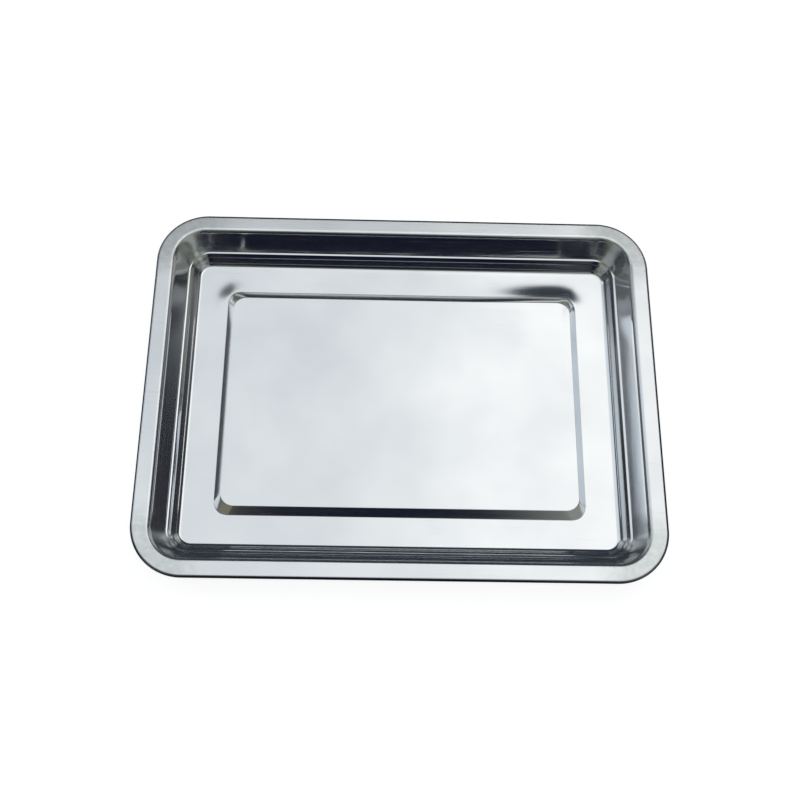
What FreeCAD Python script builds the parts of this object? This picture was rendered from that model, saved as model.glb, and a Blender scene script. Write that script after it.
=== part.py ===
"""Pressed stainless steel serving tray with a wired rim. Millimetres, +Z up.

The origin is the centre of the base: X runs along the length, Y along the width, and
z = 0 is the plane that the floor band stands on.

Each section is drawn in two numbers: s, the distance inward from the edge that the section
follows, and z. A section is carried round that edge, straight along the four sides and
turned about the four corner centres.
"""
import FreeCAD
import Part
import math
import os

# Overall
LENGTH = 360.0            # over the rolled edge, along X
WIDTH = 270.0             # over the rolled edge, along Y
HEIGHT = 28.6             # base to the top of the rim
SHEET = 0.6               # sheet thickness
CORNER_R = 36.5           # rim corner, over the rolled edge

# Rolled edge
WIRE_D = 2.8              # wire rolled into the rim
CURL_TURN = 292.0         # degrees of sheet wrapped round the wire
BEAD_R = WIRE_D / 2 + SHEET

# Rim, wall and floor band: s and z of each corner of the upper skin before it is bent
RIM_CORNER = (12.8, HEIGHT)
LEDGE_OUTER = (20.35, 10.6)
LEDGE_INNER = (21.9, 10.3)
SHOULDER = (23.9, 8.0)
FLOOR_CORNER = (26.6, SHEET)
RIM_BEND_R = 3.5
LEDGE_OUTER_R = 1.2
LEDGE_INNER_R = 1.0
SHOULDER_R = 2.0
FLOOR_BEND_R = 4.2
WALL_END = 32.0           # s where the wall section joins the flat floor band

# Raised centre panel
PANEL_FOOT_LENGTH = 261.2     # over the foot of the step
PANEL_FOOT_WIDTH = 171.9
PANEL_FOOT_R = 13.2
PANEL_STEP_RUN = 6.0
PANEL_RISE = 3.6
PANEL_BEND_R = 1.2
STEP_MARGIN = 2.0             # flat sheet kept on each side of the step section

UP = FreeCAD.Vector(0, 0, 1)
ORIGIN = FreeCAD.Vector(0, 0, 0)


def toward(start, end):
    """Unit vector from one section point to another."""
    length = math.dist(start, end)
    return ((end[0] - start[0]) / length, (end[1] - start[1]) / length)


def moved(point, way, distance):
    return (point[0] + way[0] * distance, point[1] + way[1] * distance)


def line(start, end):
    """Straight edge of a section. Sections are drawn with s along +Y."""
    return Part.LineSegment(FreeCAD.Vector(0, *start), FreeCAD.Vector(0, *end)).toShape()


def arc(start, middle, end):
    points = [FreeCAD.Vector(0, *point) for point in (start, middle, end)]
    return Part.Arc(*points).toShape()


def skin(corners, radii):
    """Edges along the corners, with every corner but the two ends bent to its radius."""
    edges = []
    here = corners[0]
    for before, corner, after, radius in zip(corners, corners[1:], corners[2:], radii):
        back, ahead = toward(corner, before), toward(corner, after)
        half_angle = math.acos(back[0] * ahead[0] + back[1] * ahead[1]) / 2
        run = radius / math.tan(half_angle)
        gap = radius / math.sin(half_angle) - radius
        inside = toward((0, 0), (back[0] + ahead[0], back[1] + ahead[1]))
        bend_start = moved(corner, back, run)
        bend_end = moved(corner, ahead, run)
        edges.append(line(here, bend_start))
        edges.append(arc(bend_start, moved(corner, inside, gap), bend_end))
        here = bend_end
    edges.append(line(here, corners[-1]))
    return edges


def under_skin(corners, radii):
    """Corners and radii of the lower skin, one sheet thickness below the upper one."""
    ways = [toward(start, end) for start, end in zip(corners, corners[1:])]
    ways_in = [ways[0]] + ways
    ways_out = ways + [ways[-1]]
    low_corners = []
    for corner, way_in, way_out in zip(corners, ways_in, ways_out):
        cosine = way_in[0] * way_out[0] + way_in[1] * way_out[1]
        below = (way_in[1] + way_out[1], -way_in[0] - way_out[0])
        low_corners.append(moved(corner, below, SHEET / (1 + cosine)))
    low_radii = []
    for way_in, way_out, radius in zip(ways, ways[1:], radii):
        turn = way_in[0] * way_out[1] - way_in[1] * way_out[0]
        low_radii.append(radius + math.copysign(SHEET, turn))
    return low_corners, low_radii


def face_within(edges):
    return Part.Face(Part.Wire(Part.__sortEdges__(edges)))


def curl_edges():
    """The sheet's roll round the wire: down the outside, under it and up the inside."""
    centre = (BEAD_R, HEIGHT - BEAD_R)

    def on_bead(radius, turned):
        angle = math.radians(90 + turned)
        return moved(centre, (math.cos(angle), math.sin(angle)), radius)

    edges = []
    for radius in (BEAD_R, WIRE_D / 2):
        edges.append(arc(on_bead(radius, 0), on_bead(radius, CURL_TURN / 2), on_bead(radius, CURL_TURN)))
    edges.append(line(on_bead(BEAD_R, CURL_TURN), on_bead(WIRE_D / 2, CURL_TURN)))
    return edges


def edge_to_floor_section():
    """Rolled edge, flat rim, wall with its ledge, and the bend into the floor band."""
    corners = [(BEAD_R, HEIGHT), RIM_CORNER, LEDGE_OUTER, LEDGE_INNER, SHOULDER,
               FLOOR_CORNER, (WALL_END, SHEET)]
    radii = [RIM_BEND_R, LEDGE_OUTER_R, LEDGE_INNER_R, SHOULDER_R, FLOOR_BEND_R]
    low_corners, low_radii = under_skin(corners, radii)
    edges = curl_edges() + skin(corners, radii) + skin(low_corners, low_radii)
    edges.append(line(corners[-1], low_corners[-1]))
    return face_within(edges)


def panel_step_section():
    """The bevelled step from the floor band up to the centre panel."""
    panel_top = SHEET + PANEL_RISE
    corners = [(-STEP_MARGIN, SHEET), (0, SHEET), (PANEL_STEP_RUN, panel_top),
               (PANEL_STEP_RUN + STEP_MARGIN, panel_top)]
    radii = [PANEL_BEND_R, PANEL_BEND_R]
    low_corners, low_radii = under_skin(corners, radii)
    edges = skin(corners, radii) + skin(low_corners, low_radii)
    edges += [line(corners[0], low_corners[0]), line(corners[-1], low_corners[-1])]
    return face_within(edges)


def wire_section():
    centre = FreeCAD.Vector(0, BEAD_R, HEIGHT - BEAD_R)
    return Part.Face(Part.Wire(Part.makeCircle(WIRE_D / 2, centre, FreeCAD.Vector(1, 0, 0))))


def carried_round(section, length, width, corner_r):
    """Solids made by carrying a section round a rounded rectangle, one per side and corner."""
    pieces = []
    for quarter in range(4):
        along, across = (length, width) if quarter % 2 == 0 else (width, length)
        run = along - 2 * corner_r
        start = section.copy()
        start.translate(FreeCAD.Vector(-run / 2, -across / 2, 0))
        side = start.extrude(FreeCAD.Vector(run, 0, 0))
        start.translate(FreeCAD.Vector(run, 0, 0))
        corner_centre = FreeCAD.Vector(run / 2, -across / 2 + corner_r, 0)
        corner = start.revolve(corner_centre, UP, 90)
        for piece in (side, corner):
            piece.rotate(ORIGIN, UP, 90 * quarter)
            pieces.append(piece)
    return pieces


def plate(length, width, corner_r, low, high):
    """Flat plate with rounded corners between two heights."""
    block = Part.makeBox(length, width, high - low, FreeCAD.Vector(-length / 2, -width / 2, low))
    upright = [edge for edge in block.Edges if edge.BoundBox.ZLength > (high - low) / 2]
    return block.makeFillet(corner_r, upright)


def joined(pieces):
    return pieces[0].multiFuse(pieces[1:]).removeSplitter()


def tray_pan():
    """The whole pressing: one sheet from the rolled edge to the centre panel."""
    band = plate(LENGTH - 2 * WALL_END, WIDTH - 2 * WALL_END, CORNER_R - WALL_END, 0, SHEET)
    step_outline = plate(PANEL_FOOT_LENGTH + 2 * STEP_MARGIN, PANEL_FOOT_WIDTH + 2 * STEP_MARGIN,
                         PANEL_FOOT_R + STEP_MARGIN, 0, SHEET)
    panel_inset = PANEL_STEP_RUN + STEP_MARGIN
    panel = plate(PANEL_FOOT_LENGTH - 2 * panel_inset, PANEL_FOOT_WIDTH - 2 * panel_inset,
                  PANEL_FOOT_R - panel_inset, PANEL_RISE, PANEL_RISE + SHEET)
    pieces = carried_round(edge_to_floor_section(), LENGTH, WIDTH, CORNER_R)
    pieces += [band.cut(step_outline)]
    pieces += carried_round(panel_step_section(), PANEL_FOOT_LENGTH, PANEL_FOOT_WIDTH, PANEL_FOOT_R)
    pieces += [panel]
    return joined(pieces)


def rim_wire():
    """Stiffening wire that the edge is rolled round."""
    return joined(carried_round(wire_section(), LENGTH, WIDTH, CORNER_R))


os.makedirs("parts", exist_ok=True)
for name, shape in (("tray_pan", tray_pan()), ("rim_wire", rim_wire())):
    solid = shape.Solids[0]
    print(name, "solids", len(shape.Solids), "valid", shape.isValid(),
          "volume mm3", round(solid.Volume, 1), "box", solid.BoundBox)
    solid.exportStep(f"parts/{name}.step")
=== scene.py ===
"""Looks of a pressed stainless steel serving tray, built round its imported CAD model. Metres."""

import math

import bpy
import numpy as np
from mathutils import Matrix, Vector


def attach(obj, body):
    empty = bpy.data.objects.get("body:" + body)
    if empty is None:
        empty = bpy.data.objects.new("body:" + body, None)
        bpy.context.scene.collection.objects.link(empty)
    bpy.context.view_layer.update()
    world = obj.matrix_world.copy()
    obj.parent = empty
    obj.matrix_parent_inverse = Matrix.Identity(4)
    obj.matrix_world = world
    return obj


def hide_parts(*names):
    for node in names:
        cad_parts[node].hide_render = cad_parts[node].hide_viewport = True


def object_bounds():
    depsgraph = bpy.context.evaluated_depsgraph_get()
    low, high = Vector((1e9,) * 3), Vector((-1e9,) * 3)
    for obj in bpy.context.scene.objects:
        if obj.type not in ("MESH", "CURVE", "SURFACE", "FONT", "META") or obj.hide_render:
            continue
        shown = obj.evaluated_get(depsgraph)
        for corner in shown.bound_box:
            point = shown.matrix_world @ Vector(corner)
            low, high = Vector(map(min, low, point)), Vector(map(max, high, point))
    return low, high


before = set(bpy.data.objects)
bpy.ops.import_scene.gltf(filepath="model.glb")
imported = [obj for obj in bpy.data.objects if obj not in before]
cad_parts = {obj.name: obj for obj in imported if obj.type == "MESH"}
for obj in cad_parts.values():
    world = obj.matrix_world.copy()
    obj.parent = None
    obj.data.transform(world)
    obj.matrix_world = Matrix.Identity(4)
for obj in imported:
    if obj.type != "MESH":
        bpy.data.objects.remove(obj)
CAD_LOW, CAD_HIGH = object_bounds()

MM = 0.001
HALF_X = CAD_HIGH.x / MM
HALF_Y = CAD_HIGH.y / MM
HEIGHT = CAD_HIGH.z / MM

# Section of the sheet in millimetres: s inward from the rolled edge, and z. Corners of the
# upper skin before they are bent, and the radius of each bend.
SHEET = 0.6
WIRE_R = 1.4
BEAD_R = WIRE_R + SHEET
CURL_TURN = 292.0
RIM_CORNER = (12.8, HEIGHT)
LEDGE_OUTER = (20.35, 10.6)
LEDGE_INNER = (21.9, 10.3)
SHOULDER = (23.9, 8.0)
FLOOR_CORNER = (26.6, SHEET)
RIM_BEND_R = 3.5
LEDGE_OUTER_R = 1.2
LEDGE_INNER_R = 1.0
SHOULDER_R = 2.0
FLOOR_BEND_R = 4.2
WALL_END = 32.0

# Radius of the outline's corner at some distances s from the rolled edge
CORNER_S = (0.0, 11.4, 20.9, 32.0)
CORNER_R = (36.5, 23.9, 15.6, 5.0)

# Raised centre panel and the step round it
PANEL_HALF_X = 130.6
PANEL_HALF_Y = 85.95
PANEL_FOOT_R = 11.4
PANEL_TOP_R = 8.9
PANEL_STEP_RUN = 6.0
PANEL_RISE = 3.6
PANEL_BEND_R = 1.0
STEP_MARGIN = 2.5

# Mesh steps along the outline and along the section
LONG_STEPS = 52
SHORT_STEPS = 40
CORNER_STEPS = 32
CURL_STEPS = 20
BAND_STEPS = 10
WALL_RUN_STEPS = [8, 8, 2, 3, 4, 2]
WALL_BEND_STEPS = [8, 6, 4, 4, 14]
STEP_RUN_STEPS = [3, 4, 3]
STEP_BEND_STEPS = [6, 6]


def unit(vector):
    return vector / np.linalg.norm(vector)


def turned(vector, angle):
    cosine, sine = math.cos(angle), math.sin(angle)
    return np.array([vector[0] * cosine - vector[1] * sine, vector[0] * sine + vector[1] * cosine])


def straight(start, end, steps):
    """Points from start to end, closer together at both ends, with the normal on their left."""
    normal = turned(unit(end - start), math.pi / 2)
    shares = (1 - np.cos(np.linspace(0, math.pi, steps + 1))) / 2
    return [(start + (end - start) * share, normal) for share in shares]


def bend(start, centre, angle, steps):
    """Points between the ends of an arc about a centre, with the normal on their left."""
    side = -1 if angle > 0 else 1
    spokes = [turned(start - centre, angle * step / steps) for step in range(1, steps)]
    return [(centre + spoke, side * unit(spoke)) for spoke in spokes]


def bent_line(corners, radii, run_steps, bend_steps):
    """Section points and normals along straight runs whose corners are bent to the radii."""
    corners = [np.array(corner, float) for corner in corners]
    section = []
    here = corners[0]
    for before, corner, after, radius, runs, bends in zip(
            corners, corners[1:], corners[2:], radii, run_steps, bend_steps):
        back, ahead = unit(before - corner), unit(after - corner)
        half_angle = math.acos(back @ ahead) / 2
        bend_start = corner + back * radius / math.tan(half_angle)
        centre = corner + unit(back + ahead) * radius / math.sin(half_angle)
        left_turn = ahead[0] * back[1] - ahead[1] * back[0] > 0
        angle = (math.pi - 2 * half_angle) * (1 if left_turn else -1)
        section += straight(here, bend_start, runs)
        section += bend(bend_start, centre, angle, bends)
        here = corner + ahead * radius / math.tan(half_angle)
    return section + straight(here, corners[-1], run_steps[-1])


def curl_section():
    """The sheet's roll round the wire, from its cut edge up to the rim's top."""
    centre = np.array([BEAD_R, HEIGHT - BEAD_R])
    angles = np.radians(90 + np.linspace(CURL_TURN, 0, CURL_STEPS, endpoint=False))
    spokes = [turned(np.array([1.0, 0.0]), angle) for angle in angles]
    return [(centre + spoke * BEAD_R, spoke) for spoke in spokes]


def wall_section():
    corners = [(BEAD_R, HEIGHT), RIM_CORNER, LEDGE_OUTER, LEDGE_INNER, SHOULDER,
               FLOOR_CORNER, (WALL_END, SHEET)]
    radii = [RIM_BEND_R, LEDGE_OUTER_R, LEDGE_INNER_R, SHOULDER_R, FLOOR_BEND_R]
    return curl_section() + bent_line(corners, radii, WALL_RUN_STEPS, WALL_BEND_STEPS)


def step_section():
    top = SHEET + PANEL_RISE
    corners = [(-STEP_MARGIN, SHEET), (0, SHEET),
               (PANEL_STEP_RUN, top), (PANEL_STEP_RUN + STEP_MARGIN, top)]
    return bent_line(corners, [PANEL_BEND_R, PANEL_BEND_R], STEP_RUN_STEPS, STEP_BEND_STEPS)


def outline(half_x, half_y, radius, z):
    """Points round a rounded rectangle, anticlockwise from the right end of its front side."""
    points = []
    sides = ((1, -1), (1, 1), (-1, 1), (-1, -1))
    centres = [np.array([x * (half_x - radius), y * (half_y - radius)]) for x, y in sides]
    for quarter, centre in enumerate(centres):
        next_centre = centres[(quarter + 1) % 4]
        angles = np.radians(90 * quarter - 90 + np.linspace(0, 90, CORNER_STEPS + 1))
        points += [centre + turned(np.array([radius, 0.0]), angle) for angle in angles]
        steps = SHORT_STEPS if quarter % 2 == 0 else LONG_STEPS
        shares = np.arange(1, steps) / steps
        points += [points[-1] + (next_centre - centre) * share for share in shares]
    return np.array([(x, y, z) for x, y in points])


def skin_rings(section, half_x, half_y, radius_at, depth):
    """Outlines of one skin, the given depth below the section's own line."""
    rings = []
    for (s, z), (normal_s, normal_z) in section:
        inset, level = s - normal_s * depth, z - normal_z * depth
        rings.append((half_x - inset, half_y - inset, radius_at(s) + s - inset, level))
    return rings


def wall_corner_radius(s):
    return np.interp(s, CORNER_S, CORNER_R)


def step_corner_radius(s):
    slope = (PANEL_TOP_R - PANEL_FOOT_R) / PANEL_STEP_RUN
    return PANEL_FOOT_R + slope * s


def tray_rings(depth):
    """All outlines of one skin, from the cut edge inside the curl to the centre panel's rim."""
    wall = skin_rings(wall_section(), HALF_X, HALF_Y, wall_corner_radius, depth)
    step = skin_rings(step_section(), PANEL_HALF_X, PANEL_HALF_Y, step_corner_radius, depth)
    outer, inner = np.array(wall[-1]), np.array(step[0])
    shares = np.arange(1, BAND_STEPS) / BAND_STEPS
    band = [tuple(outer + (inner - outer) * share) for share in shares]
    return [outline(*ring) for ring in wall + band + step]


def filled_in(ring):
    """Grid of points inside a closed outline, whose own points lie round the grid's border."""
    columns, rows = LONG_STEPS + CORNER_STEPS, SHORT_STEPS + CORNER_STEPS
    ring = np.roll(ring, -(CORNER_STEPS // 2), axis=0)
    right = ring[:rows + 1]
    back = ring[rows:rows + columns + 1][::-1]
    left = ring[rows + columns:2 * rows + columns + 1][::-1]
    front = np.vstack([ring[2 * rows + columns:], ring[:1]])
    u = np.linspace(0, 1, columns + 1)[:, None, None]
    v = np.linspace(0, 1, rows + 1)[None, :, None]
    grid = (1 - v) * front[:, None] + v * back[:, None] + (1 - u) * left[None] + u * right[None]
    grid -= (1 - v) * ((1 - u) * front[0] + u * front[-1])
    grid -= v * ((1 - u) * back[0] + u * back[-1])
    return grid


def ring_faces(first, second):
    """Quads between two rings of vertex numbers."""
    return np.stack([first, np.roll(first, -1), np.roll(second, -1), second], axis=1)


def grid_faces(numbers):
    corners = (numbers[:-1, :-1], numbers[1:, :-1], numbers[1:, 1:], numbers[:-1, 1:])
    return np.stack([corner.ravel() for corner in corners], axis=1)


def patch_numbers(ring_numbers, first_free):
    """Vertex numbers of the grid inside a ring: the ring's own on the border, new ones within."""
    columns, rows = LONG_STEPS + CORNER_STEPS, SHORT_STEPS + CORNER_STEPS
    ring_numbers = np.roll(ring_numbers, -(CORNER_STEPS // 2))
    within = np.arange((columns - 1) * (rows - 1)).reshape(columns - 1, rows - 1)
    numbers = np.empty((columns + 1, rows + 1), int)
    numbers[1:-1, 1:-1] = first_free + within
    numbers[-1, :] = ring_numbers[:rows + 1]
    numbers[:, -1] = ring_numbers[rows:rows + columns + 1][::-1]
    numbers[0, :] = ring_numbers[rows + columns:2 * rows + columns + 1][::-1]
    numbers[:, 0] = np.append(ring_numbers[2 * rows + columns:], ring_numbers[0])
    return numbers


def skin_mesh(depth, first):
    """Vertices and quads of one skin, numbered from first, and its outermost ring's numbers."""
    rings = tray_rings(depth)
    around = len(rings[0])
    numbers = first + np.arange(len(rings) * around).reshape(len(rings), around)
    faces = [ring_faces(outer, inner) for outer, inner in zip(numbers, numbers[1:])]
    patch = patch_numbers(numbers[-1], first + numbers.size)
    inside = filled_in(rings[-1])[1:-1, 1:-1].reshape(-1, 3)
    faces.append(grid_faces(patch))
    return np.vstack(rings + [inside]), np.vstack(faces), numbers[0]


# Marks left by pressing and use: lifts of the floor band beside the panel's rear corners, each as
# x of its middle, its half length along the panel's edge, and its height
FLOOR_LIFTS = ((114.0, 40.0, 1.30), (-134.0, 13.0, 0.95))
LIFT_FROM_PANEL = -2.0    # how far outside the panel's foot their crest runs
LIFT_HALF_WIDTH = 9.0
LIFT_Y = (55, 85)         # y where the lifts begin, and where they are full
# Long waves in the sheet: depth, and length of one wave
WAVES_IN_RIPPLE = 6
WAVE_SPREAD = (0.7, 1.5)  # shortest and longest wave in a ripple, as shares of its length
FLOOR_WAVE = 0.05
FLOOR_WAVE_LENGTH = 90.0
RIM_WAVE = 0.03
RIM_WAVE_LENGTH = 60.0
WALL_WAVE = 0.04
WALL_WAVE_LENGTH = 70.0
SHORT_WALL_WAVE_LENGTH = 45.0
SHORT_WALL_WAVE_LEAN = 4  # how far the short waves shift sideways for each unit of height
WALL_BELLY = 0.22         # how far the upper wall bows outward between these two heights
BELLY_HEIGHTS = (11.5, 26.0)
FOLD_DEPTH = 0.24         # of the small folds drawn into the corners, beside the ledge
FOLDS_PER_CORNER = 5
FOLD_OFFSET_X = 1.3       # radians that the folds move by, so that the corners differ
FOLD_OFFSET_Y = 0.7
CORNER_CENTRE = (143.5, 98.5)     # what the wall's corners turn about, as |x| and |y|
# How far the corners close in or open out at some heights, which smooths the ledge away there
CORNER_HEIGHTS = (6.0, 8.0, 10.3, 10.6, 14.0)
CORNER_SHIFTS = (0.0, 0.5, 0.22, -0.75, 0.0)
CORNER_TURN_IN = (0.15, 0.6)      # radians round the corner where that fades in from the end wall
CORNER_TURN_OUT = (1.42, 0.97)    # and where it fades in from the long wall
KNOB = 0.55               # how far the middle of each corner bulges inward at the ledge
KNOB_HEIGHT = 8.5
KNOB_HALF_HEIGHT = 3.4
KNOB_HALF_TURN = 0.33
END_STEP_PULL = 0.58      # how far the foot and the top of the step close in at the panel's ends
END_STEP_REACH = 6        # how far beyond the step that is still felt
# Heights between which a mark fades in: none at the first, full at the second
SHORT_WAVE_LOW = (3, 10)
SHORT_WAVE_HIGH = (22, 14)
FOLD_LOW = (2, 8)
FOLD_HIGH = (21, 14)
WALL_LOW = (1.5, 6)
WALL_HIGH = (28, 26)
FLOOR_TOP = (8, 5)
RIM_FOOT = (20, 27)
TINY = 1e-6               # keeps angles and divisions defined


def eased(value, start, end):
    """0 at start and 1 at end, easing in and out."""
    share = np.clip((value - start) / (end - start), 0, 1)
    return share * share * (3 - 2 * share)


def ripples(x, y, length, seed):
    """Soft irregular waves about that long, between -1 and 1."""
    random = np.random.default_rng(seed)
    waves = []
    for _ in range(WAVES_IN_RIPPLE):
        heading, phase = random.uniform(0, 2 * math.pi, 2)
        rate = 2 * math.pi / (length * random.uniform(*WAVE_SPREAD))
        waves.append(np.sin(rate * (x * math.cos(heading) + y * math.sin(heading)) + phase))
    return np.mean(waves, axis=0)


def beyond_panel(x, y):
    """Distance outside the foot of the centre panel."""
    over_x = np.maximum(np.abs(x) - PANEL_HALF_X + PANEL_FOOT_R, 0)
    over_y = np.maximum(np.abs(y) - PANEL_HALF_Y + PANEL_FOOT_R, 0)
    return np.hypot(over_x, over_y) - PANEL_FOOT_R


def floor_lift(x, y):
    """Rise of the floor and the panel over the flat, never below it."""
    lift = FLOOR_WAVE * (1 + ripples(x, y, FLOOR_WAVE_LENGTH, seed=3)) / 2
    ridge = np.exp(-((beyond_panel(x, y) - LIFT_FROM_PANEL) / LIFT_HALF_WIDTH) ** 2)
    for middle, half_length, height in FLOOR_LIFTS:
        lift += height * ridge * np.exp(-((x - middle) / half_length) ** 2) * eased(y, *LIFT_Y)
    return lift


def short_waves(x, y, z):
    """Leaning waves in the middle of the wall."""
    lean = SHORT_WALL_WAVE_LEAN * z
    waves = WALL_WAVE * ripples(x + lean, y - lean, SHORT_WALL_WAVE_LENGTH, seed=8)
    return waves * eased(z, *SHORT_WAVE_LOW) * eased(z, *SHORT_WAVE_HIGH)


def folds(x, y, z, turn):
    """Small folds round a corner, none where it meets the straight walls."""
    offset = FOLD_OFFSET_X * np.sign(x) + FOLD_OFFSET_Y * np.sign(y)
    fold = np.sin(2 * FOLDS_PER_CORNER * turn + offset) * np.sin(2 * turn) ** 2
    return FOLD_DEPTH * fold * eased(z, *FOLD_LOW) * eased(z, *FOLD_HIGH)


def corner_shift(z, turn):
    """Outward shift that smooths the ledge away in a corner."""
    smoothed = np.interp(z, CORNER_HEIGHTS, CORNER_SHIFTS)
    return smoothed * eased(turn, *CORNER_TURN_IN) * eased(turn, *CORNER_TURN_OUT)


def knob(z, turn):
    """Inward bulge in the middle of a corner, at the ledge."""
    round_corner = ((turn - math.pi / 4) / KNOB_HALF_TURN) ** 2
    up_wall = ((z - KNOB_HEIGHT) / KNOB_HALF_HEIGHT) ** 2
    return KNOB * np.exp(-round_corner - up_wall)


def wall_shift(x, y, z):
    """Outward shift of the wall: a bow, long waves, and what drawing does to the corners."""
    share = np.clip((z - BELLY_HEIGHTS[0]) / (BELLY_HEIGHTS[1] - BELLY_HEIGHTS[0]), 0, 1)
    shift = WALL_BELLY * 4 * share * (1 - share)
    shift += WALL_WAVE * ripples(x, y, WALL_WAVE_LENGTH, seed=5)
    shift += short_waves(x, y, z)
    over_x = np.maximum(np.abs(x) - CORNER_CENTRE[0], TINY)
    over_y = np.maximum(np.abs(y) - CORNER_CENTRE[1], 0)
    turn = np.arctan2(over_y, over_x)
    return shift + corner_shift(z, turn) + folds(x, y, z, turn) - knob(z, turn)


def steeper_ends(x):
    """Shift of x that narrows the step at the panel's two ends, where it stands more upright."""
    inset = PANEL_HALF_X - np.abs(x)
    knots = (-END_STEP_REACH, 0, PANEL_STEP_RUN, PANEL_STEP_RUN + END_STEP_REACH)
    return -np.sign(x) * np.interp(inset, knots, (0, END_STEP_PULL, -END_STEP_PULL, 0))


def press_marks(points):
    """Shift of each point of the upper skin. The lower skin moves with it."""
    x, y, z = points.T
    beyond = np.maximum(np.abs(points[:, :2]) - np.array(CORNER_CENTRE), 0)
    side = np.sign(points[:, :2]) * beyond
    outward = side / np.maximum(np.linalg.norm(side, axis=1), TINY)[:, None]
    wall = eased(z, *WALL_LOW) * eased(z, *WALL_HIGH)
    floor = eased(z, *FLOOR_TOP)
    rim_dip = RIM_WAVE * (1 + ripples(x, y, RIM_WAVE_LENGTH, seed=4)) / 2
    shift = np.zeros_like(points)
    shift[:, :2] = outward * (wall * wall_shift(x, y, z))[:, None]
    shift[:, 0] += steeper_ends(x) * floor
    shift[:, 2] = floor_lift(x, y) * floor - rim_dip * eased(z, *RIM_FOOT)
    return shift


def tray_sheet():
    """The whole pressing as one closed sheet: two skins joined at the cut edge inside the curl."""
    upper, upper_faces, upper_edge = skin_mesh(0.0, 0)
    lower, lower_faces, lower_edge = skin_mesh(SHEET, len(upper))
    shift = press_marks(upper)
    points = np.vstack([upper + shift, lower + shift]) * MM
    faces = np.vstack([upper_faces, lower_faces[:, ::-1], ring_faces(lower_edge, upper_edge)])
    mesh = bpy.data.meshes.new("tray_sheet")
    mesh.from_pydata(points.tolist(), [], faces.tolist())
    mesh.shade_smooth()
    sheet = bpy.data.objects.new("tray_sheet", mesh)
    bpy.context.scene.collection.objects.link(sheet)
    return sheet


def linked(tree, value, socket):
    """Feeds a socket from another one, or gives it a number."""
    if isinstance(value, bpy.types.NodeSocket):
        tree.links.new(value, socket)
    else:
        socket.default_value = value


def math_node(tree, operation, *values):
    node = tree.nodes.new("ShaderNodeMath")
    node.operation = operation
    for socket, value in zip(node.inputs, values):
        linked(tree, value, socket)
    return node.outputs[0]


def separated(tree, vector):
    parts = tree.nodes.new("ShaderNodeSeparateXYZ")
    tree.links.new(vector, parts.inputs[0])
    return parts.outputs["X"], parts.outputs["Y"], parts.outputs["Z"]


def ranged(tree, value, start, end, low=0.0, high=1.0, kind="LINEAR"):
    """The value's place between start and end, as a number between low and high."""
    node = tree.nodes.new("ShaderNodeMapRange")
    node.interpolation_type = kind
    node.inputs["From Min"].default_value = start
    node.inputs["From Max"].default_value = end
    node.inputs["To Min"].default_value = low
    node.inputs["To Max"].default_value = high
    tree.links.new(value, node.inputs["Value"])
    return node.outputs[0]


def mixed(tree, share, first, second):
    """One colour laid over another. The second is always a plain colour."""
    node = tree.nodes.new("ShaderNodeMix")
    node.data_type = "RGBA"
    tree.links.new(share, node.inputs["Factor"])
    linked(tree, first, node.inputs["A"])
    node.inputs["B"].default_value = second
    return node.outputs["Result"]


def noise(tree, place, stretch, scale, detail=2.0, turn=0.0):
    """Noise whose grains are drawn out along the axes with the smaller stretch numbers."""
    mapping = tree.nodes.new("ShaderNodeMapping")
    mapping.inputs["Rotation"].default_value = (0, 0, math.radians(turn))
    mapping.inputs["Scale"].default_value = stretch
    tree.links.new(place, mapping.inputs["Vector"])
    texture = tree.nodes.new("ShaderNodeTexNoise")
    texture.inputs["Scale"].default_value = scale
    texture.inputs["Detail"].default_value = detail
    tree.links.new(mapping.outputs[0], texture.inputs["Vector"])
    return texture.outputs[0]


def new_metal(name):
    """A bare metal material, its node tree, its shader and its place on the object in metres."""
    material = bpy.data.materials.new(name)
    material.use_nodes = True
    tree = material.node_tree
    shader = tree.nodes["Principled BSDF"]
    shader.inputs["Metallic"].default_value = 1.0
    place = tree.nodes.new("ShaderNodeTexCoord").outputs["Object"]
    return material, tree, shader, place


def bumped(tree, shader, height, depth):
    bump = tree.nodes.new("ShaderNodeBump")
    bump.inputs["Distance"].default_value = depth
    tree.links.new(height, bump.inputs["Height"])
    tree.links.new(bump.outputs[0], shader.inputs["Normal"])


def hairlines(tree, place, turn):
    """Sparse short scratches, all in one direction."""
    streaks = noise(tree, place, stretch=(1, 55, 55), scale=22, detail=3.0, turn=turn)
    return ranged(tree, streaks, 0.66, 0.74)


STEEL_LIGHT = (0.86, 0.865, 0.87, 1)
STEEL_DULL = (0.76, 0.775, 0.79, 1)
STEEL_CORNER = (0.69, 0.72, 0.69, 1)
# painted dark reflection: the colour laid on the outer side of the rolled edge
ROLL_PAINTED_REFLECTION = (0.18, 0.19, 0.24, 1)
WIRE_LIGHT = (0.62, 0.61, 0.59, 1)
WIRE_DARK = (0.46, 0.45, 0.44, 1)
RIM_BRUSHING = 0.000012   # depth of the relief, in metres
WALL_DRAWING = 0.000004
WIRE_DRAWING = 0.00001
SCRATCH_RELIEF = -0.15    # share of the brushing's depth
SCRATCH_TURNS = (24, -63)         # degrees
CLOUD_CONTRAST = (0.35, 0.70)     # noise values between which the tone changes
GRAIN_CONTRAST = (0.30, 0.62)
# Millimetres in from the outer edge: the painted dark reflection on the roll is full up to the first
# and gone past the second
PAINTED_REFLECTION_SPAN = (1.0, 2.1)
# Where the zones of the sheet begin and are full, in metres
RIM_ZONE = (0.0265, 0.0280)
FLOOR_ZONE = (0.0075, 0.0040)
CORNER_ZONE_X = (0.126, 0.150)
CORNER_ZONE_Y = (0.082, 0.105)
CORNER_ZONE_Z = (0.004, 0.010)
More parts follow.
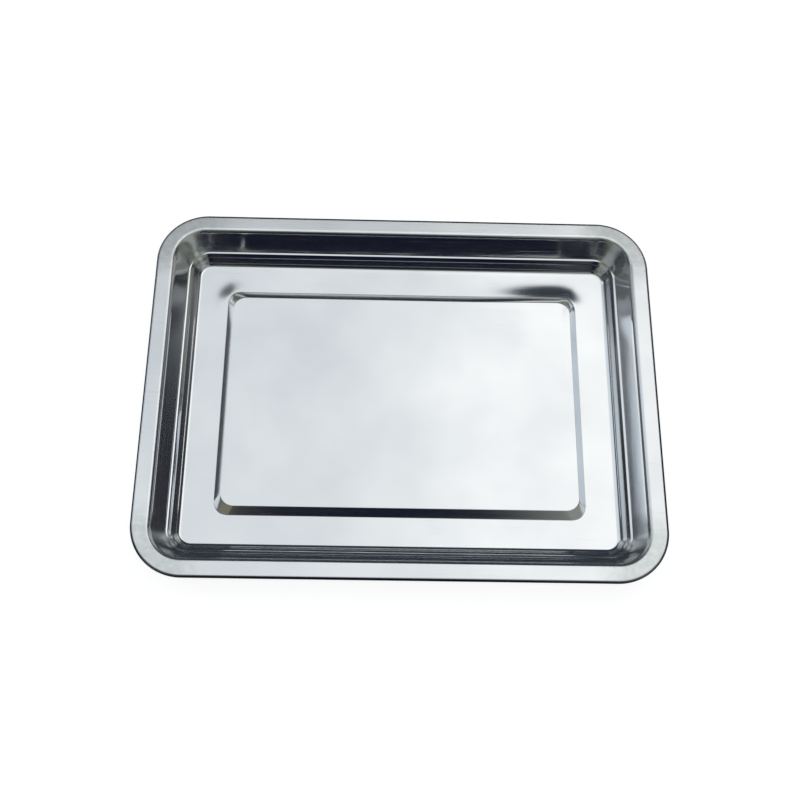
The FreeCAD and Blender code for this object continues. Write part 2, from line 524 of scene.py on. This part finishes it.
# Roughness of the polished wall, and what each zone or mark adds to it
WALL_ROUGHNESS = 0.045
RIM_ROUGHNESS = 0.13
CORNER_ROUGHNESS = 0.10
FLOOR_ROUGHNESS = 0.055
CLOUD_ROUGHNESS = 0.030
DRAWING_ROUGHNESS = 0.040
SCRATCH_ROUGHNESS = 0.10
WIRE_ROUGHNESS = (0.28, 0.48)


def product(tree, first, second):
    return math_node(tree, "MULTIPLY", first, second)


def total(tree, first, *others):
    for other in others:
        first = math_node(tree, "ADD", first, other)
    return first


def corner_mask(tree, place):
    """1 on rim and wall at the four corners, where drawing has left the surface grainy."""
    x, y, z = separated(tree, place)
    beyond_x = ranged(tree, math_node(tree, "ABSOLUTE", x), *CORNER_ZONE_X)
    beyond_y = ranged(tree, math_node(tree, "ABSOLUTE", y), *CORNER_ZONE_Y)
    return product(tree, product(tree, beyond_x, beyond_y), ranged(tree, z, *CORNER_ZONE_Z))


def beyond_corner_centre(tree, value, half):
    """How far a coordinate lies past the centre of the rim's corner, and 0 short of it."""
    past = math_node(tree, "SUBTRACT", math_node(tree, "ABSOLUTE", value), half - CORNER_R[0] * MM)
    return math_node(tree, "MAXIMUM", past, 0.0)


def painted_roll_reflection_mask(tree, place):
    """1 on the outer side of the rolled edge, where a dark reflection is painted into the colour, and
    0 on the rim.
    """
    x, y, _ = separated(tree, place)
    along = math_node(tree, "POWER", beyond_corner_centre(tree, x, HALF_X * MM), 2.0)
    across = math_node(tree, "POWER", beyond_corner_centre(tree, y, HALF_Y * MM), 2.0)
    distance = math_node(tree, "SQRT", math_node(tree, "ADD", along, across))
    dark, plain = PAINTED_REFLECTION_SPAN
    radius = CORNER_R[0]
    return ranged(tree, distance, (radius - plain) * MM, (radius - dark) * MM)


def pan_colour(tree, place, corner, clouds, mottle):
    """Clouded steel, grainy in the corners, with a dark reflection painted round the roll."""
    grain = product(tree, corner, ranged(tree, mottle, *GRAIN_CONTRAST))
    steel = mixed(tree, ranged(tree, clouds, *CLOUD_CONTRAST), STEEL_LIGHT, STEEL_DULL)
    steel = mixed(tree, grain, steel, STEEL_CORNER)
    # paints the dark reflection round the roll into the colour
    return mixed(tree, painted_roll_reflection_mask(tree, place), steel, ROLL_PAINTED_REFLECTION)


def pan_steel():
    """Rolled steel: brushed on the rim, polished by the die on the wall, satin on the floor."""
    material, tree, shader, place = new_metal("pan_steel")
    height = separated(tree, place)[2]
    rim = ranged(tree, height, *RIM_ZONE)
    floor = ranged(tree, height, *FLOOR_ZONE)
    clouds = noise(tree, place, stretch=(1, 1, 1), scale=14, detail=3.0)
    mottle = noise(tree, place, stretch=(1, 1, 1), scale=210, detail=4.0)
    rolling = noise(tree, place, stretch=(1, 40, 40), scale=28, detail=3.0)
    drawing = noise(tree, place, stretch=(1, 1, 60), scale=12, detail=3.0)
    scratches = [hairlines(tree, place, turn) for turn in SCRATCH_TURNS]
    scratches = math_node(tree, "MAXIMUM", *scratches)
    corner = corner_mask(tree, place)
    colour = pan_colour(tree, place, corner, clouds, mottle)
    linked(tree, colour, shader.inputs["Base Color"])
    roughness = total(tree, WALL_ROUGHNESS,
                      product(tree, rim, RIM_ROUGHNESS),
                      product(tree, corner, CORNER_ROUGHNESS),
                      product(tree, floor, FLOOR_ROUGHNESS),
                      ranged(tree, clouds, 0.3, 0.7, high=CLOUD_ROUGHNESS),
                      ranged(tree, drawing, 0.45, 0.75, high=DRAWING_ROUGHNESS),
                      product(tree, scratches, SCRATCH_ROUGHNESS))
    linked(tree, roughness, shader.inputs["Roughness"])
    brushing = product(tree, total(tree, rolling, mottle), rim)
    lines = product(tree, drawing, WALL_DRAWING / RIM_BRUSHING)
    scoring = product(tree, scratches, SCRATCH_RELIEF)
    bumped(tree, shader, total(tree, brushing, lines, scoring), RIM_BRUSHING)
    return material


def wire_steel():
    """Plain drawn wire: dull, with die lines along it."""
    material, tree, shader, place = new_metal("wire_steel_looks")
    lines = noise(tree, place, stretch=(1, 1, 70), scale=40, detail=3.0)
    stains = noise(tree, place, stretch=(1, 1, 1), scale=60, detail=2.0)
    linked(tree, mixed(tree, stains, WIRE_LIGHT, WIRE_DARK), shader.inputs["Base Color"])
    linked(tree, ranged(tree, lines, 0.3, 0.7, *WIRE_ROUGHNESS), shader.inputs["Roughness"])
    bumped(tree, shader, lines, WIRE_DRAWING)
    return material


# The studio as a dome round the tray. A place on the dome is given in degrees from straight up,
# to the right and to the back, or as an azimuth from the right-hand side and a tilt from straight up.
OVALS = (
    # right, back, half width, half depth, softness, colour
    ("mid grey wall, front right", 40, -30, 38, 34, 0.50, (0.27, 0.28, 0.25)),
    ("dark doorway, right", 54, 14, 20, 18, 0.40, (0.035, 0.037, 0.045)),
    ("warm wall, front left", -30, -45, 25, 26, 0.50, (0.19, 0.185, 0.14)),
    ("dark corner, far left", -72, -25, 14, 14, 0.50, (0.045, 0.05, 0.07)),
)
LIGHTS = (
    ("window, left", -36, 20, 21, 9, 0.30, (0.74, 0.82, 0.90)),
    ("pale corner, right front", 64, -53, 22, 22, 0.50, (0.40, 0.42, 0.42)),
    ("pale corner, left front", -64, -54, 21, 21, 0.50, (0.30, 0.32, 0.33)),
    ("pale corner, right rear", 60, 57, 25, 25, 0.50, (0.46, 0.48, 0.49)),
    ("pale corner, left rear", -60, 57, 25, 25, 0.50, (0.50, 0.53, 0.56)),
    ("cloth overhead", 4, 8, 28, 25, 0.10, (0.81, 0.855, 0.885)),
    ("lamp behind the cloth", 16, 18, 14, 13, 0.50, (1.12, 1.14, 1.14)),
)
# azimuth, tilt, half width, half height, softness, colour
REAR_FLAG = (90, 58, 52, 26, 0.25, (0.034, 0.042, 0.056))
CAMERA_STAND = (-90, 67, 12, 32, 0.35, (0.008, 0.010, 0.022))
ROOM = (0.14, 0.15, 0.16, 1)
BELOW = (0.02, 0.022, 0.025, 1)
TABLE = (0.55, 0.56, 0.58, 1)
HORIZON_TILTS = (86, 54)  # tilts between which the dome turns from BELOW to ROOM
TABLE_TILTS = (122, 140)  # and from BELOW to TABLE, which lights the underside
OVAL_POWER = 2.6          # squareness of the ovals: 2 is a plain ellipse


def dome_place(tree):
    """The dome's four coordinates in degrees: azimuth, tilt, to the right and to the back."""
    direction = tree.nodes.new("ShaderNodeTexCoord").outputs["Generated"]
    x, y, z = separated(tree, direction)
    azimuth = math_node(tree, "ARCTAN2", y, x)
    tilt = math_node(tree, "DEGREES", math_node(tree, "ARCCOSINE", z))
    right = product(tree, tilt, math_node(tree, "COSINE", azimuth))
    back = product(tree, tilt, math_node(tree, "SINE", azimuth))
    return math_node(tree, "DEGREES", azimuth), tilt, right, back


def reach(tree, value, middle, half):
    """How far a value is from the middle of a patch: 1 at its edge."""
    offset = math_node(tree, "SUBTRACT", value, middle)
    return math_node(tree, "ABSOLUTE", math_node(tree, "DIVIDE", offset, half))


def faded(tree, distance, softness):
    return ranged(tree, distance, 1 + softness, 1 - softness, kind="SMOOTHERSTEP")


def oval(tree, right, back, behind, patch):
    """Lays a soft oval patch over the light behind it."""
    middle_right, middle_back, half_width, half_depth, softness, colour = patch
    across = math_node(tree, "POWER", reach(tree, right, middle_right, half_width), OVAL_POWER)
    along = math_node(tree, "POWER", reach(tree, back, middle_back, half_depth), OVAL_POWER)
    distance = math_node(tree, "POWER", math_node(tree, "ADD", across, along), 1 / OVAL_POWER)
    return mixed(tree, faded(tree, distance, softness), behind, (*colour, 1))


def screen(tree, azimuth, tilt, behind, patch):
    """Lays a soft screen over the light behind it, as wide and high as given in degrees."""
    middle_azimuth, middle_tilt, half_width, half_height, softness, colour = patch
    across = faded(tree, reach(tree, azimuth, middle_azimuth, half_width), softness)
    along = faded(tree, reach(tree, tilt, middle_tilt, half_height), softness)
    return mixed(tree, product(tree, across, along), behind, (*colour, 1))


def studio_world():
    world = bpy.data.worlds.new("studio")
    world.use_nodes = True
    tree = world.node_tree
    azimuth, tilt, right, back = dome_place(tree)
    light = mixed(tree, ranged(tree, tilt, *HORIZON_TILTS), BELOW, ROOM)
    light = mixed(tree, ranged(tree, tilt, *TABLE_TILTS), light, TABLE)
    for _, *patch in OVALS:
        light = oval(tree, right, back, light, patch)
    light = screen(tree, azimuth, tilt, light, REAR_FLAG)
    for _, *patch in LIGHTS:
        light = oval(tree, right, back, light, patch)
    light = screen(tree, azimuth, tilt, light, CAMERA_STAND)
    tree.links.new(light, tree.nodes["Background"].inputs["Color"])
    bpy.context.scene.world = world


# Floor and backdrop: one plain pale bowl, flat under the tray and turned up far away
FLOOR_RADIUS = 2.5
BOWL_BEND = 1.5
BOWL_HEIGHT = 5.0
STAGE_SIDES = 96
STAGE_Z = -0.0002
PAPER_GLOW = 0.85
FLOOR_HOLE = 0.0001       # radius of the pinhole that the floor's inner ring leaves
BEND_STEPS = 12


def paper():
    material = bpy.data.materials.new("pale_paper")
    material.use_nodes = True
    shader = material.node_tree.nodes["Principled BSDF"]
    shader.inputs["Base Color"].default_value = (0.5, 0.5, 0.5, 1)
    shader.inputs["Roughness"].default_value = 1.0
    shader.inputs["Emission Color"].default_value = (1, 1, 1, 1)
    shader.inputs["Emission Strength"].default_value = PAPER_GLOW
    return material


def turned_surface(name, profile):
    """Surface swept round the Z axis from a profile of radius and height."""
    angles = np.linspace(0, 2 * math.pi, STAGE_SIDES, endpoint=False)
    points = [(r * math.cos(a), r * math.sin(a), z) for r, z in profile for a in angles]
    rings = np.arange(len(points)).reshape(len(profile), STAGE_SIDES)
    faces = [ring_faces(inner, outer) for inner, outer in zip(rings, rings[1:])]
    mesh = bpy.data.meshes.new(name)
    mesh.from_pydata(points, [], np.vstack(faces).tolist())
    mesh.shade_smooth()
    stage = bpy.data.objects.new(name, mesh)
    stage.location.z = STAGE_Z
    bpy.context.scene.collection.objects.link(stage)
    return stage


def add_stage():
    """The metal reflects the dome, not the paper, which only takes the tray's soft shadow."""
    material = paper()
    floor = turned_surface("floor", [(FLOOR_HOLE, 0), (FLOOR_RADIUS, 0)])
    angles = np.radians(np.linspace(0, 90, BEND_STEPS + 1))
    radii = FLOOR_RADIUS + BOWL_BEND * np.sin(angles)
    heights = BOWL_BEND * (1 - np.cos(angles))
    profile = [*zip(radii, heights), (FLOOR_RADIUS + BOWL_BEND, BOWL_HEIGHT)]
    backdrop = turned_surface("backdrop", profile)
    for stage in (floor, backdrop):
        stage.data.materials.append(material)
        stage.visible_glossy = False
    backdrop.visible_diffuse = False
    backdrop.visible_shadow = False


# Camera: what it looks at, how far back it stands, and how it is turned
CAMERA_TARGET = Vector((-0.00149, -0.00892, 0.0286))
CAMERA_DISTANCE = 0.7311
CAMERA_PITCH = 69.17      # degrees below the horizon
CAMERA_YAW = -3.35
CAMERA_ROLL = 4.15
CAMERA_LENS = 47.25       # millimetres
CAMERA_SENSOR = 36


def add_camera():
    camera = bpy.data.objects.new("camera", bpy.data.cameras.new("camera"))
    camera.data.lens = CAMERA_LENS
    camera.data.sensor_width = CAMERA_SENSOR
    turn = Matrix.Rotation(math.radians(CAMERA_YAW), 4, "Z")
    turn @= Matrix.Rotation(math.radians(90 - CAMERA_PITCH), 4, "X")
    turn @= Matrix.Rotation(math.radians(CAMERA_ROLL), 4, "Z")
    back_off = Matrix.Translation((0, 0, CAMERA_DISTANCE))
    camera.matrix_world = Matrix.Translation(CAMERA_TARGET) @ turn @ back_off
    bpy.context.scene.collection.objects.link(camera)
    bpy.context.scene.camera = camera


sheet = tray_sheet()
sheet.data.materials.append(pan_steel())
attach(sheet, "root")
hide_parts("tray_pan")

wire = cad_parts["rim_wire"]
wire.material_slots[0].material = wire_steel()

add_stage()
add_camera()
studio_world()
bpy.context.scene.view_settings.view_transform = "Standard"
